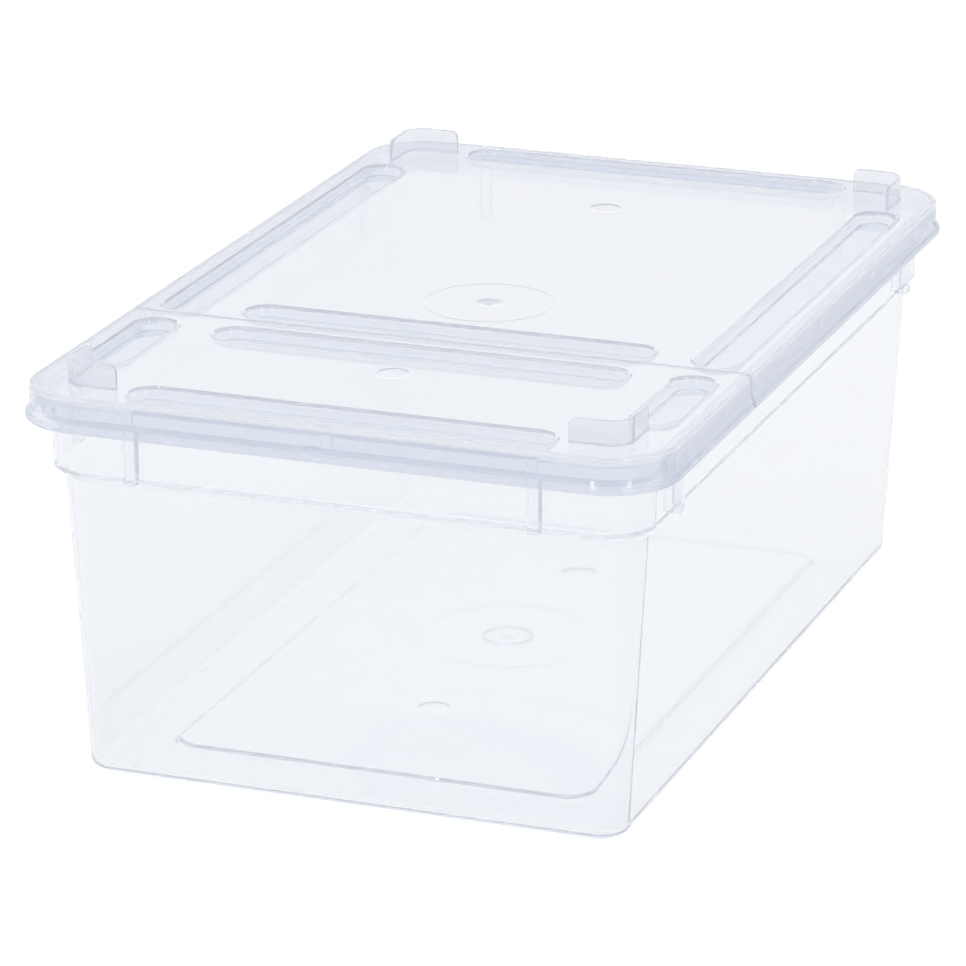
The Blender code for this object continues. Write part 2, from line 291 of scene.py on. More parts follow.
# ------------------------------------------------------------------ the lid's grooves
GROOVE_HALF = 10.6                           # half width of a groove's mouth
SIDE_GROOVE_X, END_GROOVE_Y, GROOVE_SPAN_X = 127.5, 210.0, 98.0
REAR_GROOVE_Y, FLAP_GROOVE_Y = -79.5, -115.5
REAR_SPAN, FLAP_SPAN = (-90.0, 176.0), (-174.0, -105.0)    # side grooves along Y


def mouth_bend(start, radius, tilt, step, top):
    """The rounded edge of a mouth down to a wall tilted from upright.
    Profiles are (growth beyond the mouth's half width, depth below the lid's top)."""
    run = [(start + 0.3, top), (start, top)]
    for angle in range(step, 91 - tilt, step):
        cos, sin = turn(angle)
        run.append((start - radius * sin, top + radius - radius * cos))
    return run


def floor_bend(grow, depth, tilt, step, floor):
    """The arc from a tilted wall's foot to the floor."""
    cos, sin = turn(tilt)
    radius = (floor - depth) / (1 - sin)
    centre_grow, centre_depth = grow - radius * cos, depth - radius * sin
    run = []
    for angle in range(tilt + step, 91, step):
        cos, sin = turn(angle)
        run.append((centre_grow + radius * cos, centre_depth + radius * sin))
    run.append((run[-1][0] - 0.3, floor))
    return run


def groove_profile():
    """A groove in the top, from its mouth to its floor."""
    tilt, wall = 18, 0.5                     # degrees; length of the straight wall
    run = mouth_bend(start=0.87, radius=1.4, tilt=tilt, step=6, top=0.0)
    grow, depth = run[-1]
    cos, sin = turn(tilt)
    run.append((grow - wall * sin, depth + wall * cos))
    return run + floor_bend(*run[-1], tilt=tilt, step=4, floor=4.5)


def pan_profile():
    """The groove's shape on the plate's underside."""
    tilt, wall_foot = 20, 3.65               # degrees; depth where the wall ends
    run = mouth_bend(start=1.6, radius=0.95, tilt=tilt, step=7, top=PLATE)
    grow, depth = run[-1]
    run.append((grow - (wall_foot - depth) * math.tan(math.radians(tilt)), wall_foot))
    return run + floor_bend(*run[-1], tilt=tilt, step=5, floor=5.9)


def groove_mouths():
    """Each groove's mouth as (x0, x1, y0, y1)."""
    mouths = [(-GROOVE_SPAN_X, GROOVE_SPAN_X, y - GROOVE_HALF, y + GROOVE_HALF)
              for y in (END_GROOVE_Y, REAR_GROOVE_Y, -END_GROOVE_Y, FLAP_GROOVE_Y)]
    for side in (-1, 1):
        x = side * SIDE_GROOVE_X
        for y0, y1 in (REAR_SPAN, FLAP_SPAN):
            mouths.append((x - GROOVE_HALF, x + GROOVE_HALF, y0, y1))
    return mouths


def add_grooves(shell):
    """Grooves and their undersides; gives back the holes they need in each face."""
    holes = []
    for mouth in groove_mouths():
        for profile in (groove_profile(), pan_profile()):
            rim, floor = shell.stack([stadium(*mouth, grow, TOP_MM - depth)
                                      for grow, depth in profile])
            holes.append(rim)
            shell.field(floor)
    return holes[::2], holes[1::2]


# ------------------------------------------------------------------ the stacking lugs
LUG_X, LUG_Y = 130.0, 210.5                  # outer faces of a lug's two legs
LUG_LEG_X, LUG_LEG_Y = 104.0, 182.0          # where the legs' free ends stand
LUG_WALL, LUG_RADIUS = 1.8, 10.0             # wall thickness, outer radius of the bend
LUG_END_RADIUS = 3.2                         # rounding of the top at the free ends
LUG_HEIGHT = (REAR_HIGH.z - TOP) / MM
LUG_END_STATIONS = [0.0, 0.18, 0.4, 0.7, 1.1, 1.6, 2.2, 2.9, 3.6]

# Loops up a lug: (sideways growth, height over the lid's top, drop below the lug's
# rounded top).  Each loop uses one of the last two.
LUG_LOOPS = [
    (0.80, 0.0, None), (0.62, 0.0, None), (0.36, 0.06, None), (0.16, 0.22, None),
    (0.05, 0.42, None), (0.0, 0.70, None),
    (0.0, None, 0.42), (-0.05, None, 0.22), (-0.16, None, 0.07), (-0.36, None, 0.0)]


def lug_path():
    """Stations on a lug's middle line: (x, y, normal x, normal y, distance from the end)."""
    half = LUG_WALL / 2
    radius = LUG_RADIUS - half
    centre_x, centre_y = LUG_X - LUG_RADIUS, LUG_Y - LUG_RADIUS
    leg_x, leg_y = centre_x - LUG_LEG_X, centre_y - LUG_LEG_Y
    stations = []
    for away in LUG_END_STATIONS + [leg_x - 0.6]:
        stations.append((LUG_LEG_X + away, LUG_Y - half, 0.0, 1.0, away))
    for i in range(15):
        cos, sin = turn(90 - 90 * i / 14)
        # 99 stands for well away from both ends
        stations.append((centre_x + radius * cos, centre_y + radius * sin, cos, sin, 99.0))
    for away in [leg_y - 0.6] + LUG_END_STATIONS[::-1]:
        stations.append((LUG_X - half, LUG_LEG_Y + away, 1.0, 0.0, away))
    return stations


def lug_top(away):
    """Height of a lug's top at a distance from its free end."""
    if away >= LUG_END_RADIUS:
        return LUG_HEIGHT
    return (LUG_HEIGHT - LUG_END_RADIUS
            + math.sqrt(LUG_END_RADIUS ** 2 - (LUG_END_RADIUS - away) ** 2))


def lug_loop(path, side_x, side_y, grow, height, drop):
    """One loop round the lug in the corner side_x, side_y."""
    outside, inside = [], []
    reach = LUG_WALL / 2 + grow
    for k, (x, y, normal_x, normal_y, away) in enumerate(path):
        if away < 0.5:                       # the end faces move out with the growth
            push = -grow * (1 - away / 0.5)
            if k < len(path) / 2:
                x += push
            else:
                y += push
        z = TOP_MM + (lug_top(away) - drop if height is None else height)
        outside.append((side_x * (x + normal_x * reach), side_y * (y + normal_y * reach), z))
        inside.append((side_x * (x - normal_x * reach), side_y * (y - normal_y * reach), z))
    return outside + inside[::-1]


def add_lugs(shell):
    """A lug in each corner; gives back the loops round their feet."""
    feet = []
    path = lug_path()
    for side_x in (-1, 1):
        for side_y in (-1, 1):
            foot, crown = shell.stack([lug_loop(path, side_x, side_y, *row)
                                       for row in LUG_LOOPS])
            feet.append(foot)
            count = len(crown)
            for i in range(count // 2 - 1):
                shell.faces.append((crown[i], crown[i + 1],
                                    crown[count - 2 - i], crown[count - 1 - i]))
    return feet


# ------------------------------------------------------------------ the lid
# Marks of the mould on the lid's top: (radius, height over the top).
LID_GATE = (2.2, -32.0)
LID_INSERT_LINE = [
    (30.8, 0), (30.6, 0), (30.35, -0.03), (30.15, -0.06), (30.0, -0.07), (29.85, -0.06),
    (29.65, -0.03), (29.4, 0), (29.2, 0)]
LID_NIB = [
    (7.2, 0), (6.9, 0), (6.0, -0.05), (4.8, -0.17), (3.6, -0.30), (2.5, -0.36),
    (1.9, -0.34), (1.6, -0.15), (1.35, 0.12), (1.0, 0.22), (0.5, 0.2)]
LID_PIN = [
    (8.4, 0), (8.1, 0), (7.8, -0.03), (7.4, -0.09), (7.0, -0.14), (6.5, -0.17),
    (5.9, -0.185), (5.0, -0.19), (3.5, -0.195), (2.0, -0.2), (0.8, -0.2)]


def lid_top(x, y):
    return TOP_MM


def make_lid():
    """The whole lid, before the slit parts it."""
    shell = Shell()
    top_edge, under_edge = shell.stack([lip_ring(*row) for row in edge_profile()])
    top_holes, under_holes = add_grooves(shell)
    top_holes += add_lugs(shell)
    # the gate: a dimple with a cut-off nib, inside a faint insert line
    line_out, line_in = shell.marks(LID_GATE, LID_INSERT_LINE, 120, lid_top)
    top_holes.append(line_out)
    dimple, nib = shell.marks(LID_GATE, LID_NIB, 48, lid_top)
    shell.field(line_in, [dimple])
    shell.field(nib)
    # ejector pin marks
    for y in (137, -147):
        rim, disc = shell.marks((0, y), LID_PIN, 64, lid_top)
        top_holes.append(rim)
        shell.field(disc)
    shell.field(top_edge, top_holes)
    shell.field(under_edge, under_holes)
    return shell.build()


# ------------------------------------------------------------------ parting the lid
# Distances from the hinge line, metres, where edges are cut to carry the eased ridges.
EASING_CUTS = (0.0075, 0.0060, 0.0015, SLIT)
# The ridged stretch made smooth: (inset, depth), downward.
RIDGE_LINE = [(0.86, 11.75), (0.80, 11.95), (0.30, 12.9), (0.05, 13.8), (0.0, 14.4),
              (0.0, 15.0)]


def bisect(solid, y, normal_y=1, clear=False):
    """Cuts along the plane Y = y, and clears the side its normal points to."""
    geom = solid.verts[:] + solid.edges[:] + solid.faces[:]
    bmesh.ops.bisect_plane(solid, geom=geom, plane_co=(0, y, 0),
                           plane_no=(0, normal_y, 0), clear_outer=clear, dist=1e-7)


def close_cut(solid):
    """Fills the one open loop, which lies in a plane across Y."""
    rim = [edge for edge in solid.edges if edge.is_boundary]
    neighbours = {}
    for edge in rim:
        one, other = edge.verts
        neighbours.setdefault(one, []).append(other)
        neighbours.setdefault(other, []).append(one)
    start = rim[0].verts[0]
    loop, before, now = [start], None, start
    while True:
        ahead = [v for v in neighbours[now] if v is not before][0]
        if ahead is start:
            break
        loop.append(ahead)
        before, now = now, ahead
    assert len(loop) == len(rim), "the cut isn't one loop"
    flat = [Vector((v.co.x / MM, v.co.z / MM)) for v in loop]
    order = list(range(len(loop)))
    if signed_area(flat) < 0:
        order.reverse()
    _, _, faces, sources, _, _ = delaunay_2d_cdt(flat, [], [order], 1, 1e-6)
    for face in faces:
        verts = [loop[sources[i][0]] for i in face]
        if len(set(verts)) > 2:
            solid.faces.new(verts)


def flat_inset(depth):
    for (inset0, depth0), (inset1, depth1) in zip(RIDGE_LINE, RIDGE_LINE[1:]):
        if depth0 <= depth <= depth1:
            return inset0 + (inset1 - inset0) * (depth - depth0) / (depth1 - depth0)
    return 0.0


def ease_ridges(solid, slit_y):
    """Levels the ridges beside the slit and rounds the slit's bottom corners."""
    for v in solid.verts:
        depth = (TOP - v.co.z) / MM
        inset = HALF_X_MM - abs(v.co.x) / MM
        away = abs(v.co.y - slit_y) / MM
        if 11.8 < depth < 15.05 and inset < 1.2 and away < 6.4:
            level_x = (HALF_X_MM - flat_inset(depth) - 0.06) * MM
            v.co.x = math.copysign(level_x, v.co.x)
        if away < 0.9 and depth > 14.8 and inset < 2.4:
            v.co.z += (0.9 - away) * 0.9 * MM


def part(solid, side):
    """Keeps the lid on one side of the slit: side 1 is toward +Y, -1 toward -Y."""
    slit_y = HINGE_Y + side * SLIT
    bisect(solid, slit_y, normal_y=-side, clear=True)
    close_cut(solid)
    ease_ridges(solid, slit_y)


def add_bead(solid):
    """The flap's finger bead, on the inside of its front skirt."""
    rings = []
    # shrinkage of the half length, distance in from the lip's front
    for grow, y in ((0.0, 3.45), (0.0, 4.1), (-0.25, 4.35), (-0.6, 4.5)):
        half_x, half_z = 5.0 + grow, 0.9 + grow * 0.6
        ring = []
        for angle in range(0, 360, 20):
            cos, sin = turn(angle)
            ring.append((-5.5 + math.copysign(half_x - half_z, cos) + half_z * cos,
                         -HALF_Y_MM + y, TOP_MM - 10.2 + half_z * sin))
        rings.append(ring)
    bead = Shell()
    bead.capped_stack(rings)
    bead_solid = bead.build()
    mesh = bpy.data.meshes.new("bead")
    bead_solid.to_mesh(mesh)
    bead_solid.free()
    solid.from_mesh(mesh)


def make_panels():
    """The rear panel and the front flap."""
    flap_solid = make_lid()
    for gap in EASING_CUTS:
        for side in (-1, 1):
            bisect(flap_solid, HINGE_Y + side * gap)
    rear_solid = flap_solid.copy()
    part(rear_solid, 1)
    part(flap_solid, -1)
    add_bead(flap_solid)
    return to_object(rear_solid, "rear_panel_clear"), to_object(flap_solid, "front_flap_clear")


# ------------------------------------------------------------------ the tub
WALL = 1.9
FLOOR = 2.0                                  # floor thickness
PANEL_X, PANEL_Y, PANEL_RADIUS = 98.0, 170.0, 12.0    # the floor's raised panel
PANEL_RISE = 2.0                             # the panel's edge over the foot ring
PANEL_SLOPE = 3.2                            # width of the slope round the panel
CROWN = 4.0                                  # the floor's middle stands this much higher
FOOT_FILLET, INNER_FILLET = 4.0, 3.2

# The tapering wall's outside, as (inset from the lid's lip, plan radius).
WALL_FOOT, WALL_HEAD, WALL_HEIGHT = (23.4, 13.1), (15.3, 21.0), 139.5

# Rings of the band, collar and rim, as (inset from the lid's lip, plan radius, z).
OUTER_RIM = [
    (11.0, 22.4, 154.0), (10.85, 22.55, 164.8),
    (10.8, 22.6, 165.6), (10.5, 22.9, 166.2), (9.9, 23.4, 166.7), (8.6, 24.2, 167.1),
    (7.4, 25.2, 167.4), (6.9, 25.7, 167.8), (6.6, 25.95, 168.4), (6.5, 26.0, 169.2),
    (6.5, 26.0, 174.6), (6.35, 26.1, 175.4), (5.9, 26.3, 176.0), (5.35, 26.7, 176.3),
    (5.08, 26.95, 176.7), (5.0, 27.0, 177.2), (5.0, 27.0, 177.8), (5.12, 26.9, 178.2),
    (5.4, 26.6, 178.45), (5.8, 26.2, 178.5), (7.4, 25.1, 178.5), (8.0, 24.5, 178.4),
    (8.3, 24.2, 178.1), (8.4, 24.1, 177.6)]
INNER_RIM = [
    (8.4, 24.1, 170.6), (8.5, 24.0, 169.8), (8.9, 23.7, 169.2), (9.6, 23.2, 168.75),
    (11.0, 22.2, 168.4), (11.9, 21.6, 168.1), (12.4, 21.2, 167.6), (12.7, 20.9, 166.8),
    (12.75, 20.8, 165.8), (12.9, 20.5, 154.0)]

# Marks of the mould on the floor's inside: (radius, height over the floor).
TUB_INSERT_LINE = [(42.8, 0), (42.5, 0), (42.25, -0.03), (42.0, -0.07), (41.75, -0.03),
                   (41.5, 0), (41.2, 0)]
TUB_GATE = [
    (12.4, 0), (12.2, 0.04), (11.9, 0.2), (11.5, 0.32), (11.1, 0.2), (10.8, 0.04),
    (10.6, 0), (4.4, 0), (3.8, 0.05), (3.0, 0.22), (2.3, 0.42), (1.6, 0.55), (0.8, 0.6)]
TUB_PIN = [(8.3, 0), (8.0, 0), (7.7, -0.05), (7.4, -0.13), (7.1, -0.2), (6.7, -0.24),
           (6.2, -0.25), (4.0, -0.27), (1.5, -0.28)]
TUB_PIN_Y = 98


def tub_ring(inset, radius, z):
    return rounded(HALF_X_MM - inset, HALF_Y_MM - inset, radius, z)


def wall_at(z, inward=0.0):
    """Inset and plan radius of the wall at a height, moved inward."""
    (foot_inset, foot_radius), (head_inset, head_radius) = WALL_FOOT, WALL_HEAD
    share = z / WALL_HEIGHT
    return (foot_inset + (head_inset - foot_inset) * share + inward,
            foot_radius + (head_radius - foot_radius) * share - inward)


def wall_ring(z, inward=0.0, pull=0.0):
    """A ring of the wall, drawn further in by pull for a fillet."""
    inset, radius = wall_at(z, inward)
    return tub_ring(inset + pull, radius - pull, z)


def flare(start, end, first):
    """Rings easing between two (inset, radius, z) rows; first 1 leaves out the start."""
    rings = []
    for k in range(first, 16):
        share = k / 15
        ease = share * share * (3 - 2 * share)
        rings.append(tub_ring(start[0] + (end[0] - start[0]) * ease,
                              start[1] + (end[1] - start[1]) * ease,
                              start[2] + (end[2] - start[2]) * share))
    return rings


def panel_rings(base):
    """The slope round the raised panel, outward and down to the height base."""
    slope = [(-1.0, PANEL_RISE)]
    slope += [(PANEL_SLOPE * k / 14, PANEL_RISE / 2 * (1 + math.cos(math.pi * k / 14)))
              for k in range(15)]
    slope.append((PANEL_SLOPE + 1.0, 0.0))
    return [rounded(PANEL_X + grow, PANEL_Y + grow, PANEL_RADIUS + grow, base + z)
            for grow, z in slope]


def tub_rings():
    """From the panel's underside, out and up to the rim, then down the inside."""
    foot_inset, foot_radius = wall_at(0.0)
    rings = panel_rings(0.0)
    rings.append(tub_ring(foot_inset + 4.6, foot_radius - 4.2, 0.0))
    for k in range(11):
        cos, sin = turn(90 * k / 10)
        rings.append(wall_ring(FOOT_FILLET * (1 - cos), pull=FOOT_FILLET * (1 - sin)))
    rings += [wall_ring(z) for z in (6.0, 50.0, 100.0, 137.5)]
    # the neck flares softly into the band
    rings += flare((*wall_at(137.9), 137.9), (11.15, 22.25, 143.5), first=1)
    rings += [tub_ring(*row) for row in OUTER_RIM + INNER_RIM]
    rings += flare((13.0, 20.4, 144.9), (*wall_at(138.9, WALL), 138.9), first=0)
    rings += [wall_ring(z, WALL) for z in (137.0, 100.0, 50.0, 8.0)]
    for k in range(9):
        cos, sin = turn(90 * k / 8)
        rings.append(wall_ring(FLOOR + INNER_FILLET * (1 - sin), WALL,
                               INNER_FILLET * (1 - cos)))
    rings.append(tub_ring(foot_inset + WALL + 3.9, 5.0, FLOOR))
    return rings + panel_rings(FLOOR)[::-1]


def panel_under(x, y):
    """Height of the crowned panel's underside."""
    share_x = max(0.0, 1 - (x / PANEL_X) ** 2)
    share_y = max(0.0, 1 - (y / PANEL_Y) ** 2)
    return PANEL_RISE + CROWN * share_x * share_y


def panel_over(x, y):
    return FLOOR + panel_under(x, y)


def panel_grid(skip=()):
    """Loose points over the panel, clear of each (x, y, radius) circle in skip."""
    points = []
    for column in range(-10, 11):
        for row in range(-17, 18):
            x, y = column * 9.2, row * 9.7
            if all(math.hypot(x - skip_x, y - skip_y) > radius + 2.5
                   for skip_x, skip_y, radius in skip):
                points.append((x, y))
    return points


def make_tub():
    shell = Shell()
    under_edge, over_edge = shell.stack(tub_rings())
    shell.field(under_edge, extra=panel_grid(), height=panel_under)

    line_out, line_in = shell.marks((0, 0), TUB_INSERT_LINE, 120, panel_over)
    gate_out, gate_in = shell.marks((0, 0), TUB_GATE, 64, panel_over)
    line_radius, gate_radius, pin_radius = (
        table[0][0] for table in (TUB_INSERT_LINE, TUB_GATE, TUB_PIN))
    holes = [line_out]
    skip = [(0, 0, line_radius)]
    for y in (TUB_PIN_Y, -TUB_PIN_Y):
        rim, disc = shell.marks((0, y), TUB_PIN, 48, panel_over)
        holes.append(rim)
        skip.append((0, y, pin_radius))
        shell.field(disc)
    within = [(x, y) for x, y in panel_grid([(0, 0, gate_radius)]) if math.hypot(x, y) < 38]
    shell.field(line_in, [gate_out], extra=within, height=panel_over)
    shell.field(gate_in)
    shell.field(over_edge, holes, extra=panel_grid(skip), height=panel_over)
    return to_object(shell.build(), "tub_clear")


# ------------------------------------------------------------------ the tub's ribs
RIB_HALF = 2.75                              # half width at a rib's top
RIB_SOFT = 0.45                              # bevel of its edges
# near and far are the insets of the inner and outer faces from the lid's lip
BAND_RIB = {"half_foot": 2.5, "low": 142.6, "high": 167.9, "near": 11.7, "far": 6.5}
COLLAR_RIB = {"half_foot": 2.75, "low": 169.0, "high": 177.4, "near": 7.3, "far": 5.2}
# (kind, axis the wall runs along: 0 is X and 1 is Y, places along it)
RIB_ROWS = [
    (BAND_RIB, 0, (-92.7, 92.7)),
    (BAND_RIB, 1, (-174.0, 174.0)),
    (COLLAR_RIB, 0, (-92.7, 0.0, 92.7)),
    (COLLAR_RIB, 1, (-174.0, -88.0, 18.0, 100.0, 174.0))]


def add_rib(solid, centre, axis, side, half_foot, low, high, near, far):
    """One upright rib, its edges softened except those on its inner face."""
    lip = (HALF_Y_MM, HALF_X_MM)[axis]
    inner, outer = lip - near, lip - far
    across = 1 - axis
    verts = bmesh.ops.create_cube(solid, size=1.0)["verts"]
    for v in verts:
        is_top, is_outer = v.co.z > 0, v.co[across] > 0
        end = math.copysign(1, v.co[axis])
        place_at = [0.0, 0.0, (high if is_top else low) * MM]
        place_at[axis] = (centre + end * (RIB_HALF if is_top else half_foot)) * MM
        reach = (outer if is_top else outer - 0.4) if is_outer else inner
        place_at[across] = side * reach * MM
        v.co = place_at
    edges = [edge for edge in {edge for v in verts for edge in v.link_edges}
             if all(abs(abs(v.co[across]) - inner * MM) > 1e-6 for v in edge.verts)]
    bmesh.ops.bevel(solid, geom=edges, offset=RIB_SOFT * MM, segments=3, profile=0.5,
                    affect="EDGES", clamp_overlap=True)


def make_ribs():
    solid = bmesh.new()
    for side in (-1, 1):
        for kind, axis, centres in RIB_ROWS:
            for centre in centres:
                add_rib(solid, centre, axis, side, **kind)
    return solid


# ------------------------------------------------------------------ the hinge film
def make_film():
    """A thin strip bridging the slit, its top dipping in the middle."""
    steps = 8
    half = HALF_X_MM - 2.6
    rings = []
    for k in range(steps + 1):
        y = HINGE_Y / MM + (SLIT / MM) * (1 - 2 * k / steps)
        dip = 0.16 * math.sin(math.pi * k / steps)
        # (x, height over the lid's top)
        section = [(-half, -0.55), (-half + 0.3, -0.12 - dip), (-half + 1.2, -dip),
                   (half - 1.2, -dip), (half - 0.3, -0.12 - dip), (half, -0.55),
                   (half - 0.5, -0.62), (-half + 0.5, -0.62)]
        rings.append([(x, y, TOP_MM + z) for x, z in section])
    shell = Shell()
    shell.capped_stack(rings)
    return to_object(shell.build(), "hinge_film_clear")


# ------------------------------------------------------------------ shader helpers
def add_node(tree, kind, inputs=None, **settings):
    """Adds a shader node; an input given as a socket is linked, any other is set."""
    node = tree.nodes.new("ShaderNode" + kind)
    for name, value in settings.items():
        setattr(node, name, value)
    for name, value in (inputs or {}).items():
        if isinstance(value, bpy.types.NodeSocket):
            tree.links.new(value, node.inputs[name])
        else:
            node.inputs[name].default_value = value
    return node


def smooth_range(tree, value, start, end):
    """Runs smoothly from 0 to 1 as value goes from start to end."""
    return add_node(tree, "MapRange", {"Value": value, "From Min": start, "From Max": end},
                    interpolation_type="SMOOTHSTEP").outputs["Result"]


def mix_colour(tree, base, other, factor):
    return add_node(tree, "Mix", {"Factor": factor, "A": base, "B": other},
                    data_type="RGBA").outputs["Result"]


def absolute(tree, value):
    return add_node(tree, "Math", {0: value}, operation="ABSOLUTE").outputs[0]


# ------------------------------------------------------------------ materials
PAINTED_GLOW = 0.006                                 # painted glow on every skin of the plastic, standing in for light caught in the walls
PAINTED_GLOW_COLOUR = (0.40, 0.64, 1.0, 1)
SKIN_COLOUR = (0.985, 0.988, 0.994, 1)       # what a lamp's light keeps at each skin
WAVE = 0.000005                              # height of the surface's waves, metres
GRAIN_SHARE = 0.02                           # the fine texture's part of that height

# painted shade: colour for the tub's long side walls
TUB_SIDE_PAINTED_SHADE = (0.912, 0.918, 0.928, 1)
# painted shade for the lid's rim below the flat top
LID_RIM_PAINTED_SHADE = (0.825, 0.848, 0.89, 1)
# painted shade, darker still, for the long sides' rim
LID_SIDE_PAINTED_SHADE = (0.69, 0.718, 0.785, 1)


def tub_painted_shade(tree, coords, tint):
    """Painted shade: the long side walls, facing X, are coloured darker than the rest."""
    facing = add_node(tree, "NewGeometry")
    parts = add_node(tree, "SeparateXYZ", {0: facing.outputs["True Normal"]})
    # mask of the walls facing X, which get the painted shade
    wall = smooth_range(tree, absolute(tree, parts.outputs["X"]), start=0.55, end=0.97)
    return mix_colour(tree, tint, TUB_SIDE_PAINTED_SHADE, wall)


def lid_painted_shade(tree, coords, tint):
    """Painted shade: the rim below the flat top is coloured darker, and the
    long sides' rim darker still."""
    parts = add_node(tree, "SeparateXYZ", {0: coords.outputs["Object"]})
    # mask of the rim below the flat top, which gets the painted shade
    rim_shade_mask = smooth_range(tree, parts.outputs["Z"], start=TOP - 0.0008, end=TOP - 0.0045)
    rim = mix_colour(tree, tint, LID_RIM_PAINTED_SHADE, rim_shade_mask)
    # mask of the long sides, whose rim gets more painted shade
    side = smooth_range(tree, absolute(tree, parts.outputs["X"]),
                        start=HALF_X - 0.0058, end=HALF_X - 0.0030)
    side_rim_shade_mask = add_node(tree, "Math", {0: side, 1: rim_shade_mask}, operation="MULTIPLY")
    return mix_colour(tree, rim, LID_SIDE_PAINTED_SHADE, side_rim_shade_mask.outputs[0])


def surface_waves(tree, coords):
    """Long flow waves from the mould, and a fine haze of texture."""
    where = coords.outputs["Object"]
    stretch = add_node(tree, "Mapping", {"Vector": where, "Scale": (1.0, 0.35, 1.0)})
    flow = add_node(tree, "TexNoise", {"Vector": stretch.outputs["Vector"],
                                       "Scale": 26.0, "Detail": 2.0})
    grain = add_node(tree, "TexNoise", {"Vector": where, "Scale": 900.0, "Detail": 3.0})
    height = add_node(tree, "Math", {0: grain.outputs["Fac"], 1: GRAIN_SHARE,
                                     2: flow.outputs["Fac"]}, operation="MULTIPLY_ADD")
    bump = add_node(tree, "Bump", {"Strength": 1.0, "Distance": WAVE,
                                   "Height": height.outputs[0]})
    return bump.outputs["Normal"]


def depth_tint_and_painted_glow(tree, colour, density):
    """A long way through the plastic tends to the depth colour: its own blue-grey tint, and a
    painted glow standing in for light scattered inside it.
    """
    volume = add_node(tree, "VolumeAbsorption", {"Color": (0, 0, 0, 1), "Density": density})
    # painted glow of the plastic's volume, though it is no lamp
    painted_glow = add_node(tree, "Emission", {"Color": (*colour, 1), "Strength": density})
    return add_node(tree, "AddShader", {0: volume.outputs[0], 1: painted_glow.outputs[0]}).outputs[0]


def lamps_pass(tree, surface):
    """Lamps reach through the walls, a little weakened at each skin."""
    path = add_node(tree, "LightPath")
    through = add_node(tree, "BsdfTransparent", {"Color": SKIN_COLOUR})
    return add_node(tree, "MixShader", {0: path.outputs["Is Shadow Ray"], 1: surface,
                                        2: through.outputs[0]}).outputs[0]


def clear_plastic(name, tint, depth_tint_and_glow, density, roughness, haze, shading=None):
    """Clear moulded plastic: smooth, faintly wavy, blue-grey in depth, with a painted glow on
    its skins and in its depth.
    density is per metre, haze is the share of light that isn't transmitted, and
    shading(tree, coords, tint), if given, paints shade into the tint over the piece."""
    material = bpy.data.materials.new(name)
    material.use_nodes = True
    tree = material.node_tree
    bsdf = tree.nodes["Principled BSDF"]
    # the emission set here is a painted glow, not a lamp
    for socket, value in (("Base Color", (*tint, 1)), ("Roughness", roughness), ("IOR", 1.49),
                          ("Transmission Weight", 1.0 - haze),
                          ("Emission Color", PAINTED_GLOW_COLOUR), ("Emission Strength", PAINTED_GLOW)):
        bsdf.inputs[socket].default_value = value
    coords = add_node(tree, "TexCoord")
    if shading:
        tree.links.new(shading(tree, coords, (*tint, 1)), bsdf.inputs["Base Color"])
    tree.links.new(surface_waves(tree, coords), bsdf.inputs["Normal"])
    output = tree.nodes["Material Output"]
    tree.links.new(depth_tint_and_painted_glow(tree, depth_tint_and_glow, density), output.inputs["Volume"])
    tree.links.new(lamps_pass(tree, bsdf.outputs[0]), output.inputs["Surface"])
    return material


def dress_pieces(tub, rear, flap, hinge):
    """Gives the clear plastics to the pieces and to the frame's own nodes."""
    tub_plastic = clear_plastic(
        "clear_tub_plastic", tint=(0.942, 0.944, 0.948), depth_tint_and_glow=(0.66, 0.70, 0.81),
        density=30.0, roughness=0.05, haze=0.08, shading=tub_painted_shade)
    lid_plastic = clear_plastic(
        "clear_lid_plastic", tint=(0.905, 0.908, 0.925), depth_tint_and_glow=(0.60, 0.65, 0.77),
        density=45.0, roughness=0.06, haze=0.17, shading=lid_painted_shade)
    film_plastic = clear_plastic(
        "clear_hinge_plastic", tint=(0.86, 0.885, 0.935), depth_tint_and_glow=(0.66, 0.72, 0.84),
        density=60.0, roughness=0.12, haze=0.35)
    for piece, node, plastic in ((tub, "tub", tub_plastic),
                                 (rear, "lid_rear_panel", lid_plastic),
                                 (flap, "lid_front_flap", lid_plastic),
                                 (hinge, "living_hinge", film_plastic)):
        piece.data.materials.clear()
        piece.data.materials.append(plastic)
        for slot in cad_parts[node].material_slots:
            slot.material = plastic


# ------------------------------------------------------------------ floor, world, lights
def make_floor():
    mesh = bpy.data.meshes.new("studio_floor")
    grid = bmesh.new()
    bmesh.ops.create_grid(grid, x_segments=4, y_segments=4, size=8.0)
    grid.to_mesh(mesh)
    grid.free()
    floor = place("studio_floor", mesh)
    floor.location.z = -0.0004               # just clear of the tub's foot
    material = bpy.data.materials.new("studio_floor")
    material.use_nodes = True
    inputs = material.node_tree.nodes["Principled BSDF"].inputs
    inputs["Base Color"].default_value = (0.17, 0.17, 0.172, 1)
    inputs["Emission Color"].default_value = (1.0, 1.0, 1.0, 1)
    inputs["Emission Strength"].default_value = 0.86
    inputs["Roughness"].default_value = 0.9
    inputs["Specular IOR Level"].default_value = 0.1
    mesh.materials.append(material)
    return floor


def toward(azimuth, elevation):
    """A direction, its azimuth in degrees from -Y toward +X."""
    cos_azimuth, sin_azimuth = turn(azimuth)
    cos_elevation, sin_elevation = turn(elevation)
    return sin_azimuth * cos_elevation, -cos_azimuth * cos_elevation, sin_elevation


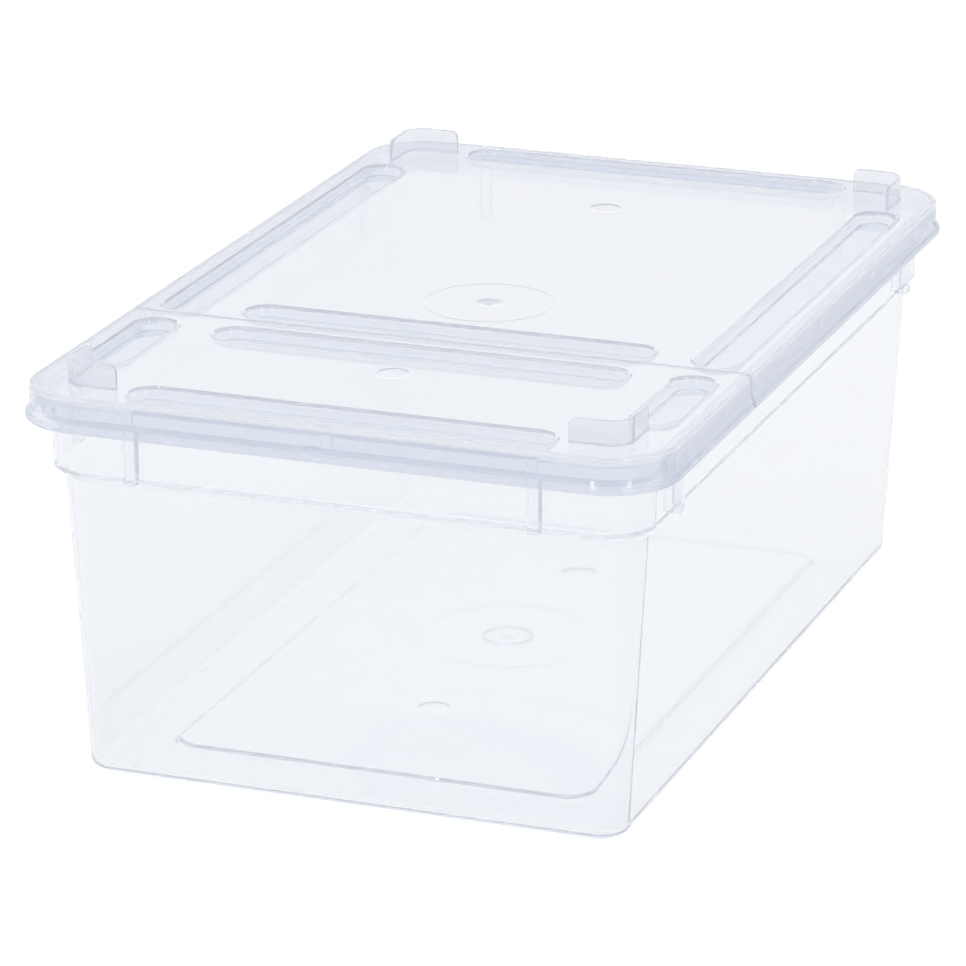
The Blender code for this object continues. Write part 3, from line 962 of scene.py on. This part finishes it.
def make_world():
    """A bright room, with a darker side where the camera stands."""
    dark_side = toward(azimuth=20, elevation=10)
    inner, outer = 20, 75                    # degrees where the dark is full, and gone
    world = bpy.data.worlds.new("studio")
    bpy.context.scene.world = world
    world.use_nodes = True
    tree = world.node_tree
    coords = add_node(tree, "TexCoord")
    nearness = add_node(tree, "VectorMath", {0: coords.outputs["Generated"], 1: dark_side},
                        operation="DOT_PRODUCT")
    patch = smooth_range(tree, nearness.outputs["Value"],
                         start=math.cos(math.radians(outer)),
                         end=math.cos(math.radians(inner)))
    sky = mix_colour(tree, (1.0, 1.0, 1.0, 1), (0.38, 0.43, 0.52, 1), patch)
    background = tree.nodes["Background"]
    tree.links.new(sky, background.inputs["Color"])
    background.inputs["Strength"].default_value = 1.0


STRIP_WIDTH, STRIP_HEIGHT = 0.22, 1.9        # metres
STRIP_LOW = 0.9                              # offset of its centre, less half its height
STRIP_DISTANCE = 2.0
STRIP_POWER = 7                              # watts
STRIP_TARGET = Vector((0, -0.05, 0.15))


def make_strip(name, azimuth):
    """A tall strip light, aimed at the bin."""
    data = bpy.data.lights.new(name, "AREA")
    data.shape = "RECTANGLE"
    data.size, data.size_y = STRIP_WIDTH, STRIP_HEIGHT
    data.energy = STRIP_POWER
    strip = place(name, data)
    cos, sin = turn(azimuth)
    strip.location = (sin * STRIP_DISTANCE, -cos * STRIP_DISTANCE,
                      STRIP_LOW + STRIP_HEIGHT / 2)
    strip.rotation_euler = (STRIP_TARGET - strip.location).to_track_quat("-Z", "Y").to_euler()


# ------------------------------------------------------------------ camera and render
CAMERA_PLACE = (0.7974, -2.1771, 0.8686)
# radians: yaw from +Y toward +X, pitch downward, roll about the view
CAMERA_YAW, CAMERA_PITCH, CAMERA_ROLL = -0.3562, 0.3264, -0.0017


def make_camera():
    data = bpy.data.cameras.new("camera")
    data.sensor_width = 36.0
    data.lens = 194.7749068
    data.clip_start, data.clip_end = 0.05, 50
    camera = place("camera", data)
    yaw, pitch, roll = CAMERA_YAW, CAMERA_PITCH, CAMERA_ROLL
    forward = Vector((math.sin(yaw) * math.cos(pitch), math.cos(yaw) * math.cos(pitch),
                      -math.sin(pitch)))
    level = Vector((math.cos(yaw), -math.sin(yaw), 0))
    upright = level.cross(forward)
    right = math.cos(roll) * level + math.sin(roll) * upright
    up = -math.sin(roll) * level + math.cos(roll) * upright
    rows = [(right[i], up[i], -forward[i], CAMERA_PLACE[i]) for i in range(3)]
    camera.matrix_world = Matrix((*rows, (0, 0, 0, 1)))
    bpy.context.scene.camera = camera


def set_render():
    """Enough bounces for light to cross many clear walls."""
    scene = bpy.context.scene
    scene.view_settings.view_transform = "Standard"
    cycles = scene.cycles
    cycles.max_bounces = 32
    cycles.transmission_bounces = 32
    cycles.glossy_bounces = 32
    cycles.diffuse_bounces = 4
    cycles.transparent_max_bounces = 32
    cycles.caustics_refractive = True
    cycles.caustics_reflective = True


# ------------------------------------------------------------------ putting it together
rear, flap = make_panels()
tub = make_tub()
union(tub, make_ribs())
for piece in (tub, rear, flap):
    flatten_normals(piece)
hinge = make_film()
dress_pieces(tub, rear, flap, hinge)

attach(tub, "tub")
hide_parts("tub")
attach(rear, "lid")
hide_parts("lid_rear_panel")
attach(flap, "flap")
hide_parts("lid_front_flap")
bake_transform(hinge)
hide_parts("living_hinge")

floor = make_floor()
make_world()
make_strip("strip_left", azimuth=-8)
make_strip("strip_right", azimuth=50)
make_camera()
set_render()
